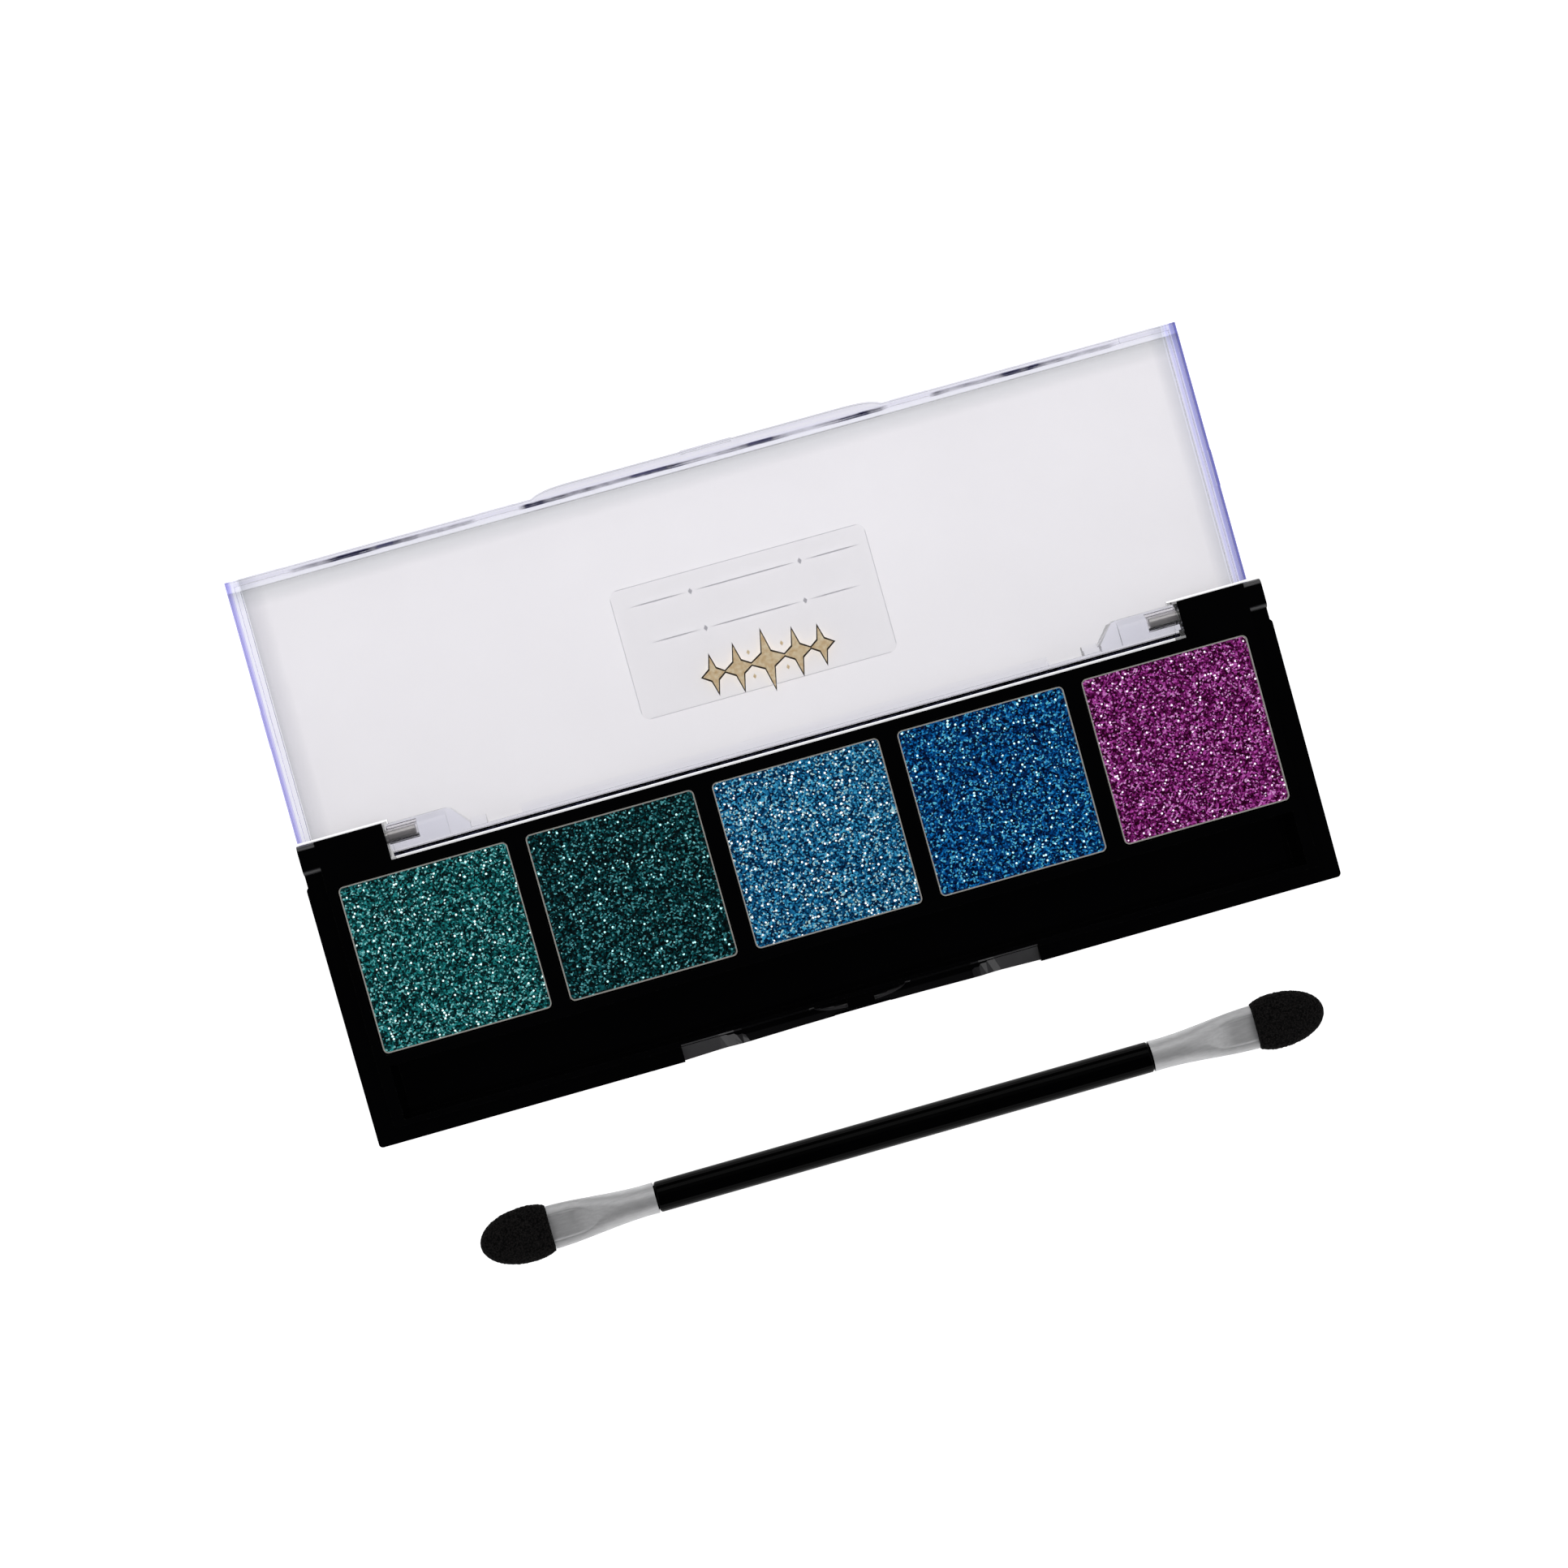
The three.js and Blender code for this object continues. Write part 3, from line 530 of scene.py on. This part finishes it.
# Grain colours of the five shades, from the darkest grains to the brightest, and the painted glints' colour.
SHADES = {
    1: [
        (0.0, 0.006, 0.008),
        (0.002, 0.042, 0.046),
        (0.008, 0.15, 0.155),
        (0.03, 0.42, 0.43),
        (0.4, 1.0, 1.0),
    ],
    2: [
        (0.0, 0.003, 0.004),
        (0.001, 0.012, 0.014),
        (0.002, 0.043, 0.05),
        (0.008, 0.15, 0.17),
        (0.16, 0.6, 0.64),
    ],
    3: [
        (0.0, 0.01, 0.045),
        (0.003, 0.075, 0.21),
        (0.016, 0.25, 0.56),
        (0.09, 0.62, 1.0),
        (0.7, 1.0, 1.0),
    ],
    4: [
        (0.0, 0.004, 0.026),
        (0.0, 0.024, 0.125),
        (0.001, 0.085, 0.34),
        (0.005, 0.27, 0.75),
        (0.16, 0.75, 1.0),
    ],
    5: [
        (0.03, 0.0, 0.014),
        (0.11, 0.003, 0.072),
        (0.33, 0.022, 0.25),
        (0.68, 0.1, 0.58),
        (1.0, 0.45, 0.95),
    ],
}
# Colours of the painted glints: nearly white flakes, also fed to the glow.
GLINT_COLOURS = {
    1: (0.75, 1.0, 0.98),
    2: (0.5, 0.95, 0.95),
    3: (0.95, 1.0, 1.0),
    4: (0.6, 0.95, 1.0),
    5: (1.0, 0.75, 1.0),
}
# A flake carries a painted glint where its random value is over this.
SPARKLE_SHARE = {1: 0.915, 2: 0.95, 3: 0.875, 4: 0.935, 5: 0.93}
SPARKLE_CORE = 0.24  # share of a flake's size where its disc starts to fade
SPARKLE_RIM = 0.46
GRAIN_STOPS = (0.16, 0.44, 0.68, 0.86, 0.97)
GRAIN_MM = 0.2
SPARKLE_MM = 0.34
GRAIN_LEAN = 0.5
PAINTED_SHEEN_SHARE = 0.11  # painted sheen: how much of its colour a grain glows with, in any light


def painted_glint_mask(material, number):
    """1 on the few round flakes that carry a painted glint, and 0 between them."""
    flakes = cells(material, SPARKLE_MM)
    parts = add_node(material, "ShaderNodeSeparateColor", {"Color": flakes.outputs["Color"]})
    chosen = add_node(
        material,
        "ShaderNodeMath",
        {0: parts.outputs["Green"], 1: SPARKLE_SHARE[number]},
        operation="GREATER_THAN",
    )
    disc = add_node(
        material,
        "ShaderNodeMapRange",
        {
            "Value": flakes.outputs["Distance"],
            "From Min": SPARKLE_CORE,
            "From Max": SPARKLE_RIM,
            "To Min": 1,
            "To Max": 0,
        },
    )
    return add_node(
        material,
        "ShaderNodeMath",
        {0: chosen.outputs["Value"], 1: disc.outputs["Result"]},
        operation="MULTIPLY",
    ).outputs["Value"]


def leaning_normals(material, grains):
    """Tilts every grain its own way."""
    centred = add_node(
        material,
        "ShaderNodeVectorMath",
        {0: grains.outputs["Color"], 1: (0.5, 0.5, 0.5)},
        operation="SUBTRACT",
    )
    tilt = add_node(
        material,
        "ShaderNodeVectorMath",
        {0: centred.outputs[0], "Scale": GRAIN_LEAN},
        operation="SCALE",
    )
    facing = add_node(material, "ShaderNodeNewGeometry", {}).outputs["Normal"]
    leaning = add_node(material, "ShaderNodeVectorMath", {0: facing, 1: tilt.outputs[0]}, operation="ADD")
    unit = add_node(material, "ShaderNodeVectorMath", {0: leaning.outputs[0]}, operation="NORMALIZE")
    link_to_shader(material, unit.outputs[0], "Normal")


def glitter(number):
    """Dark to bright grains of one hue, with painted sheen and painted near-white glints on round flakes."""
    # The emission paints glints on the flakes and a faint sheen on every grain.
    values = {"Metallic": 0.2, "Roughness": 0.35, "Specular IOR Level": 0.1, "Emission Strength": 1.4}
    material = finish(f"glitter_{number}", values)
    grains = cells(material, GRAIN_MM)
    parts = add_node(material, "ShaderNodeSeparateColor", {"Color": grains.outputs["Color"]})
    grain_colour = ramp(material, parts.outputs["Red"], list(zip(GRAIN_STOPS, SHADES[number])))
    painted_glint = painted_glint_mask(material, number)
    bright = GLINT_COLOURS[number]
    link_to_shader(material, colour_mix(material, painted_glint, grain_colour, bright), "Base Color")
    # Painted sheen: every grain glows faintly in its own colour.
    painted_sheen = colour_mix(material, PAINTED_SHEEN_SHARE, BLACK, grain_colour)
    link_to_shader(material, colour_mix(material, painted_glint, painted_sheen, bright), "Emission Color")
    leaning_normals(material, grains)
    return material


# ---- carried-over CAD pieces --------------------------------------------------------------------

WELD_DISTANCE = 0.001 * MM  # the CAD meshes have split vertices, which a bevel can't round
FLAT_ANGLE = math.radians(1)
SHARP_ANGLE = math.radians(35)
EDGE_SEGMENTS = 2


def repaint(node, material, edge_mm=0.0):
    """Gives a CAD piece its material and, with edge_mm, a rounded edge."""
    piece = NODES[node]
    if not piece.material_slots:
        piece.data.materials.append(material)
    for slot in piece.material_slots:
        slot.link = "OBJECT"
        slot.material = material
    if edge_mm:
        weld = piece.modifiers.new("weld", "WELD")
        weld.merge_threshold = WELD_DISTANCE
        flat = piece.modifiers.new("merge_flats", "DECIMATE")
        flat.decimate_type = "DISSOLVE"
        flat.angle_limit = FLAT_ANGLE
        edge = piece.modifiers.new("edge", "BEVEL")
        edge.width = edge_mm * MM
        edge.segments = EDGE_SEGMENTS
        edge.limit_method = "ANGLE"
        edge.angle_limit = SHARP_ANGLE
        edge.harden_normals = True


def finish_cad_pieces():
    """Every CAD piece that stays gets its material and the width of its rounded edges in mm."""
    repaint("base_tray", gloss_black("gloss_black", 0.08, 0.45, TRAY_EDGE_HIGHLIGHT), 0.14)
    repaint("bottom_cover", satin_black(), 0.1)
    repaint("applicator_handle", gloss_black("handle_black", 0.12, 0.05, HANDLE_EDGE_HIGHLIGHT), 0.1)
    pin_steel = bright_metal("pin_steel", PIN_COLOUR, 0.3, (6, 1, 1), 0.002, 0.7)
    pan_tin = bright_metal("pan_tin", TIN_COLOUR, 0.35, (1, 1, 1), 0.004, 0.35)
    glue = adhesive()
    white = stem_plastic()
    for side in SIDES:
        repaint(f"hinge_pin_{side}", pin_steel, 0.08)
        repaint(f"sponge_stem_{side}", white, 0.1)
    for number in PANS:
        repaint(f"pan_{number}", pan_tin, 0.05)
        repaint(f"pan_pad_{number}", glue, 0.05)
    repaint("lid", clear_plastic(), 0.12)
    repaint("lid_label", label_film())


# ---- new pieces ---------------------------------------------------------------------------------

def new_piece(name, mesh, body, material):
    """Links a finished mesh as a piece that rides on a CAD body."""
    mesh.materials.append(material)
    piece = bpy.data.objects.new(name, mesh)
    bpy.context.scene.collection.objects.link(piece)
    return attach(piece, body)


def mesh_from_grid(name, rows, closed_round=True):
    """A mesh through rows of points; closed_round joins each row's end to its start."""
    width = len(rows[0])
    points = [point for row in rows for point in row]
    faces = []
    for r in range(len(rows) - 1):
        for c in range(width if closed_round else width - 1):
            near = r * width
            far = near + width
            after = (c + 1) % width
            faces.append((near + c, near + after, far + after, far + c))
    mesh = bpy.data.meshes.new(name)
    mesh.from_pydata(points, [], faces)
    return mesh


CAKE_CORNER = 0.5 * MM
FLAKE_GRID = 0.21 * MM
FLAKE_RELIEF = 0.05 * MM
FLAKE_SHAKE = 0.32  # how far a corner of the net may stray, in squares of the net
PRESSED_DIP = 0.06 * MM
DIP_WAVE = 4 * MM


def rounded_in(x, y, low, high, radius):
    """Pulls a point of the rectangle's corners onto the corner's arc."""
    centre_x = min(max(x, low.x + radius), high.x - radius)
    centre_y = min(max(y, low.y + radius), high.y - radius)
    away = Vector((x - centre_x, y - centre_y))
    if away.length > radius:
        away *= radius / away.length
    return centre_x + away.x, centre_y + away.y


def glitter_cake(number):
    """Pressed glitter: a close net of small facets that each lean their own way."""
    node = f"glitter_cake_{number}"
    low, high = (Vector(corner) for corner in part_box(node))
    dice = random.Random(number)
    columns = round((high.x - low.x) / FLAKE_GRID)
    rows = round((high.y - low.y) / FLAKE_GRID)
    top = []
    for r in range(rows + 1):
        line = []
        for c in range(columns + 1):
            at_edge = r in (0, rows) or c in (0, columns)
            shake = 0 if at_edge else FLAKE_SHAKE
            x = low.x + (high.x - low.x) * (c + dice.uniform(-shake, shake)) / columns
            y = low.y + (high.y - low.y) * (r + dice.uniform(-shake, shake)) / rows
            x, y = rounded_in(x, y, low, high, CAKE_CORNER)
            dip = PRESSED_DIP * (1 + noise.noise((x / DIP_WAVE, y / DIP_WAVE, number)))
            line.append((x, y, high.z - dip - FLAKE_RELIEF * dice.random()))
        top.append(line)
    mesh = mesh_from_grid(node + "_net", top, closed_round=False)
    net = bmesh.new()
    net.from_mesh(mesh)
    bmesh.ops.triangulate(net, faces=net.faces, quad_method="ALTERNATE")
    rim = [edge for edge in net.edges if edge.is_boundary]
    walls = bmesh.ops.extrude_edge_only(net, edges=rim)["geom"]
    lowered = [v for v in walls if isinstance(v, bmesh.types.BMVert)]
    for vertex in lowered:
        vertex.co.z = low.z
    bottom = [e for e in walls if isinstance(e, bmesh.types.BMEdge) and e.is_boundary]
    bmesh.ops.contextual_create(net, geom=bottom)
    bmesh.ops.recalc_face_normals(net, faces=net.faces)
    net.to_mesh(mesh)
    net.free()
    cake = new_piece(f"pressed_glitter_{number}", mesh, "base", glitter(number))
    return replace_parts(cake, node)


def smooth_step(start, end, value):
    """0 before start and 1 after end, with an S between."""
    t = min(max((value - start) / (end - start), 0), 1)
    return t * t * (3 - 2 * t)


FERRULE_STEPS = 90
FERRULE_SECTORS = 120
FERRULE_WALL = 0.22 * MM
FERRULE_TIP_HALF_HEIGHT = 1.0 * MM
SHARP_RIM = math.radians(50)
CRIMP_WIDTH = 0.62  # of the ferrule's half-width, at the tip
CRIMP_DEPTH = 0.35  # of its half-height


def ferrule_section(share, angle, ends, shrink):
    """A point of the ferrule's skin, share of the way from the handle to the sponge.

    The round tube turns into a flat one, and a wedge pressed into both faces widens to the tip.
    """
    start_radius, tip_half_width, tip_half_height = ends
    spread = smooth_step(0.1, 1, share)
    flat = smooth_step(0.3, 0.8, share)
    half_width = start_radius + (tip_half_width - start_radius) * spread - shrink
    half_height = start_radius + (tip_half_height - start_radius) * flat - shrink
    across = half_width * math.cos(angle)
    up = half_height * math.sin(angle)
    wedge = CRIMP_WIDTH * smooth_step(0.34, 0.74, share)
    inside = 1 - smooth_step(wedge * 0.86, wedge + 0.03, abs(across) / half_width)
    level = half_height * (1 - CRIMP_DEPTH * smooth_step(0.5, 0.78, share))
    pressed = math.copysign(min(abs(up), level), up)
    up = up + (pressed - up) * inside
    return across, up


def ferrule(side):
    """A crimped tube, built from its CAD solid's own ends."""
    node = f"ferrule_{side}"
    low, high = (Vector(corner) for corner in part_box(node))
    handle_low, handle_high = (Vector(corner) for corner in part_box("applicator_handle"))
    radius = (handle_high.z - handle_low.z) / 2
    centre = (low + high) / 2
    length = high.x - low.x
    towards = -1 if side == "left" else 1
    start_x = high.x if side == "left" else low.x
    ends = (radius, (high.y - low.y) / 2, FERRULE_TIP_HALF_HEIGHT)
    shells = []
    for shrink in (0, FERRULE_WALL):
        rows = []
        for step in range(FERRULE_STEPS + 1):
            share = step / FERRULE_STEPS
            row = []
            for sector in range(FERRULE_SECTORS):
                across, up = ferrule_section(share, 2 * math.pi * sector / FERRULE_SECTORS, ends, shrink)
                row.append((start_x + towards * length * share, centre.y + across, centre.z + up))
            rows.append(row)
        shells.append(rows)
    outer, inner = shells
    mesh = mesh_from_grid(node + "_skin", [inner[0], *outer, *reversed(inner)])
    mesh.shade_smooth()
    metal = bright_metal(f"ferrule_metal_{side}", FERRULE_COLOUR, 0.5, (5, 1, 1), 0.012, 0.55)
    piece = new_piece(f"crimped_ferrule_{side}", mesh, "applicator", metal)
    split = piece.modifiers.new("sharp_rims", "EDGE_SPLIT")
    split.split_angle = SHARP_RIM
    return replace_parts(piece, node)


SPONGE_RINGS = 110
SPONGE_SECTORS = 200
PORE_SIZE = 0.22 * MM
PORE_DEPTH = 0.07 * MM
SEAM_WIDTH = 0.22 * MM
SEAM_DEPTH = 0.12 * MM
SHOULDER = 0.3  # share of the length where the sponge is widest
NARROWING = 0.16  # how much narrower it is at the ferrule
ROUNDNESS = 2.2
TIP_SHARE = 0.9995  # the last ring stays open by a hair, and is then filled
NECK_SHRINK = 0.05


def sponge_half_width(share):
    """Half-width over greatest half-width, share of the way from the ferrule to the tip."""
    if share < SHOULDER:
        inward = (SHOULDER - share) / SHOULDER
        return 1 - NARROWING * inward ** ROUNDNESS
    outward = (share - SHOULDER) / (1 - SHOULDER)
    return math.sqrt(max(1 - outward ** ROUNDNESS, 0))


def sponge(side):
    """A soft egg-shaped tip glued from two halves: open pores all over and a seam round its edge."""
    node = f"sponge_{side}"
    low, high = (Vector(corner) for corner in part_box(node))
    centre = (low + high) / 2
    half = (high - low) / 2
    towards = -1 if side == "left" else 1
    start_x = high.x if side == "left" else low.x
    length = high.x - low.x
    rows = []
    for ring in range(SPONGE_RINGS + 1):
        share = math.sin(ring / SPONGE_RINGS * math.pi / 2)
        fullness = sponge_half_width(min(share, TIP_SHARE))
        row = []
        for sector in range(SPONGE_SECTORS):
            angle = 2 * math.pi * sector / SPONGE_SECTORS
            out = Vector((0, math.cos(angle), math.sin(angle)))
            point = Vector((
                start_x + towards * (length - PORE_DEPTH) * share,
                centre.y + (half.y - PORE_DEPTH) * fullness * out.y,
                centre.z + (half.z - PORE_DEPTH) * fullness * out.z,
            ))
            grain = noise.fractal(point / PORE_SIZE, 0.7, 2.1, 3)
            seam = math.exp(-((out.z * fullness * half.z) / SEAM_WIDTH) ** 2) * fullness
            point += out * (PORE_DEPTH * grain - SEAM_DEPTH * seam)
            row.append(tuple(point))
        rows.append(row)
    neck = Vector((start_x, centre.y, centre.z))
    flat_end = [tuple(neck.lerp(Vector(point), NECK_SHRINK)) for point in rows[0]]
    mesh = mesh_from_grid(node + "_foam", [flat_end, *rows])
    foam = bmesh.new()
    foam.from_mesh(mesh)
    bmesh.ops.holes_fill(foam, edges=[e for e in foam.edges if e.is_boundary])
    bmesh.ops.recalc_face_normals(foam, faces=foam.faces)
    foam.to_mesh(mesh)
    foam.free()
    mesh.shade_smooth()
    tip = new_piece(f"foam_tip_{side}", mesh, "applicator", foam_black())
    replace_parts(tip, node)
    return tip


# ---- label ornament -----------------------------------------------------------------------------

INK_THICKNESS = 0.02 * MM
INK_GAP = 0.01 * MM
ROW_X = 0.5 * MM
ROW_Y = -8.4 * MM
# place along the row, reach and waist of each sparkle, in mm
SPARKLE_ROW = [(0, 3.5, 1.25), (-3.7, 2.7, 1.05), (3.7, 2.7, 1.05), (-6.8, 2.2, 0.9), (6.8, 2.2, 0.9)]
SPARKLE_WIDTH = 0.62  # over its height
BORDER_MM = 0.5  # how far the brown reaches past the gold at the points
BORDER_WAIST_MM = 0.26
DOT_SIZE = 0.32 * MM
DOT_WIDTH = 0.7  # over its height
BEAD_SIZE = 0.4 * MM
STRIP_WIDTH = 0.07 * MM
STRIP_INSET = 0.9 * MM
RULES = [(-18.9 * MM, 30.6 * MM), (-14.1 * MM, 27.8 * MM)]  # place across the lid, length
RULE_WIDTH = 0.16 * MM
RULE_TAPER = 2 * MM


def lid_frame():
    """The closed lid's own frame, turned to where it lies at rest."""
    hinge = next(j for j in frame["record"]["behaviour"]["joints"] if j["name"] == "lid_hinge")
    closing = math.radians(hinge["range_deg"][1])
    return Matrix.Translation(hinge["pos_m"]) @ Matrix.Rotation(-closing, 4, "X")


def label_face():
    """Height of the label's outer face in the lid's frame."""
    inverse = lid_frame().inverted()
    return max((inverse @ vertex.co).z for vertex in NODES["lid_label"].data.vertices)


def star(centre_x, centre_y, size, waist):
    """Outline of a four-pointed sparkle."""
    points = []
    for corner in range(8):
        reach = size if corner % 2 == 0 else waist
        angle = corner * math.pi / 4
        across = SPARKLE_WIDTH * reach * math.cos(angle)
        points.append((centre_x + across, centre_y + reach * math.sin(angle)))
    return points


def diamond(centre_x, centre_y, size):
    """Outline of a small dot."""
    return [
        (centre_x - DOT_WIDTH * size, centre_y),
        (centre_x, centre_y - size),
        (centre_x + DOT_WIDTH * size, centre_y),
        (centre_x, centre_y + size),
    ]


def rule(centre_x, centre_y, length):
    """A thin line with tapered ends."""
    half = length / 2
    return [
        (centre_x - half, centre_y),
        (centre_x - half + RULE_TAPER, centre_y - RULE_WIDTH / 2),
        (centre_x + half - RULE_TAPER, centre_y - RULE_WIDTH / 2),
        (centre_x + half, centre_y),
        (centre_x + half - RULE_TAPER, centre_y + RULE_WIDTH / 2),
        (centre_x - half + RULE_TAPER, centre_y + RULE_WIDTH / 2),
    ]


def printed(name, outlines, height, material):
    """Flat ink shapes, one thin closed plate each, on the lid."""
    plates = bmesh.new()
    to_world = lid_frame()
    for outline in outlines:
        bottom = [plates.verts.new(to_world @ Vector((x, y, height))) for x, y in outline]
        top = [plates.verts.new(to_world @ Vector((x, y, height + INK_THICKNESS))) for x, y in outline]
        plates.faces.new(bottom)
        plates.faces.new(top)
        for i, corner in enumerate(bottom):
            after = (i + 1) % len(bottom)
            plates.faces.new((corner, bottom[after], top[after], top[i]))
    bmesh.ops.recalc_face_normals(plates, faces=plates.faces)
    mesh = bpy.data.meshes.new(name)
    plates.to_mesh(mesh)
    plates.free()
    return new_piece(name, mesh, "lid", material)


def label_outline():
    """Thin strips just inside the label's four edges."""
    inverse = lid_frame().inverted()
    corners = [inverse @ vertex.co for vertex in NODES["lid_label"].data.vertices]
    low_x, high_x = min(c.x for c in corners), max(c.x for c in corners)
    low_y, high_y = min(c.y for c in corners), max(c.y for c in corners)
    left, right = low_x + STRIP_INSET, high_x - STRIP_INSET
    near, far = low_y + STRIP_INSET, high_y - STRIP_INSET
    strips = []
    for y in (low_y, high_y - STRIP_WIDTH):
        strips.append([(left, y), (right, y), (right, y + STRIP_WIDTH), (left, y + STRIP_WIDTH)])
    for x in (low_x, high_x - STRIP_WIDTH):
        strips.append([(x, near), (x + STRIP_WIDTH, near), (x + STRIP_WIDTH, far), (x, far)])
    return strips


def label_print():
    """A row of gold sparkles edged in brown, two thin pale rules and the label's outline."""
    face = label_face() + INK_GAP
    gold = []
    brown = []
    for along, reach, waist in SPARKLE_ROW:
        x = ROW_X + along * MM
        gold.append(star(x, ROW_Y, reach * MM, waist * MM))
        brown.append(star(x, ROW_Y, (reach + BORDER_MM) * MM, (waist + BORDER_WAIST_MM) * MM))
    dots = [diamond(ROW_X + dx * MM, ROW_Y + dy * MM, DOT_SIZE) for dx in (-2.1, 2.1) for dy in (-1.5, 1.5)]
    rules = []
    for across, length in RULES:
        rules.append(rule(ROW_X, across, length * 0.42))
        rules += [rule(ROW_X + side * length * 0.36, across, length * 0.24) for side in (-1, 1)]
        rules += [diamond(ROW_X + side * length * 0.225, across, BEAD_SIZE) for side in (-1, 1)]
    gold_ink = ink("gold_ink", (0.72, 0.5, 0.24), (1.0, 0.9, 0.62), 0.4)
    printed("label_sparkles", gold + dots, face, gold_ink)
    brown_ink = ink("brown_ink", (0.03, 0.018, 0.01), (0.08, 0.05, 0.03), 0)
    printed("label_sparkle_edges", brown, face + 2 * INK_THICKNESS, brown_ink)
    printed("label_sparkle_fronts", gold, face + 4 * INK_THICKNESS, gold_ink)
    pale_ink = ink("pale_ink", (0.8, 0.8, 0.83), (0.95, 0.95, 0.97), 0.14)
    printed("label_rules", rules + label_outline(), face, pale_ink)


# ---- build --------------------------------------------------------------------------------------

add_camera()
add_studio()
finish_cad_pieces()
for pan_number in PANS:
    glitter_cake(pan_number)
for end in SIDES:
    ferrule(end)
    sponge(end)
label_print()
